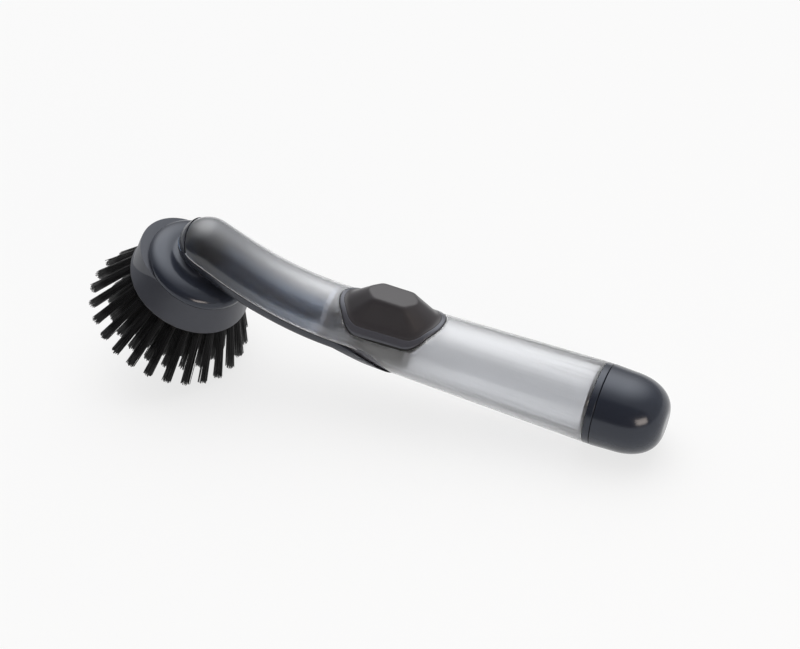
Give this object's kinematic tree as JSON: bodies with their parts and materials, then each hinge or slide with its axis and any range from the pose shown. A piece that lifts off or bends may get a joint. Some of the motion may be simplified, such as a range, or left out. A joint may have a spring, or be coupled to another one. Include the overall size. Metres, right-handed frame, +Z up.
{
  "type": "dish wand",
  "caption": "Dish wand with a translucent soap handle, a squeeze bulb pump, a bent neck, a screw cap and a clip-on round brush head of splayed bristle tufts.",
  "frame": {"origin": "on the worktop, under the middle of the lying wand's box", "axes": "+X towards the end cap, +Z up, the bulb on the upper side, mirror plane XZ"},
  "size_m": [0.261, 0.0738, 0.0754],
  "materials": {
    "smoky_clear": "satin smoky translucent",
    "graphite": "satin",
    "silicone": "matte",
    "collar_grey": "fine matte",
    "bristle": "satin filaments",
    "anchor_wire": "drawn wire"
  },
  "bodies": {
    "wand": {"body_shell": "smoky_clear", "neck_trim": "graphite", "bulb_bezel": "graphite", "pump_chamber": "graphite", "inlet_valve": "silicone", "outlet_valve": "silicone", "bulkhead": "graphite", "soap_duct": "silicone", "duct_elbow": "graphite", "head_seat": "graphite", "head_seal": "silicone", "dispensing_valve": "silicone", "valve_retainer": "graphite", "end_ring": "graphite", "ring_seal": "silicone"},
    "bulb": {"pump_bulb": "silicone"},
    "cap_washer": {"cap_seal": "silicone"},
    "cap": {"end_cap": "graphite"},
    "brush_head": {"head_base": "collar_grey", "tuft_anchors": "anchor_wire", "tufts_outer": "bristle", "tufts_second": "bristle", "tufts_third": "bristle", "tufts_inner": "bristle"}
  },
  "joints": [
    {"name": "bulb_press", "type": "slide", "parent": "wand", "child": "bulb", "axis": [-0.1552, 0, -0.9879], "range_m": [0, 0.005], "stiffness_N_per_m": 2000, "deforming": ["pump_bulb"]},
    {"name": "cap_lift", "type": "slide", "parent": "wand", "child": "cap_washer", "axis": [0.9879, 0, -0.1552], "range_m": [0, 0.008]},
    {"name": "cap_turn", "type": "hinge", "parent": "cap_washer", "child": "cap", "pos_m": [0.12965, 0, 0.01436], "axis": [0.9879, 0, -0.1552], "range_deg": [0, 720]},
    {"name": "head_release", "type": "slide", "parent": "wand", "child": "brush_head", "axis": [-0.5436, 0, -0.8394], "range_m": [0, 0.02]}
  ],
  "couplings": [
    {"joint": "cap_turn", "follows": "cap_lift", "rad_per_m": 1570.8}
  ]
}
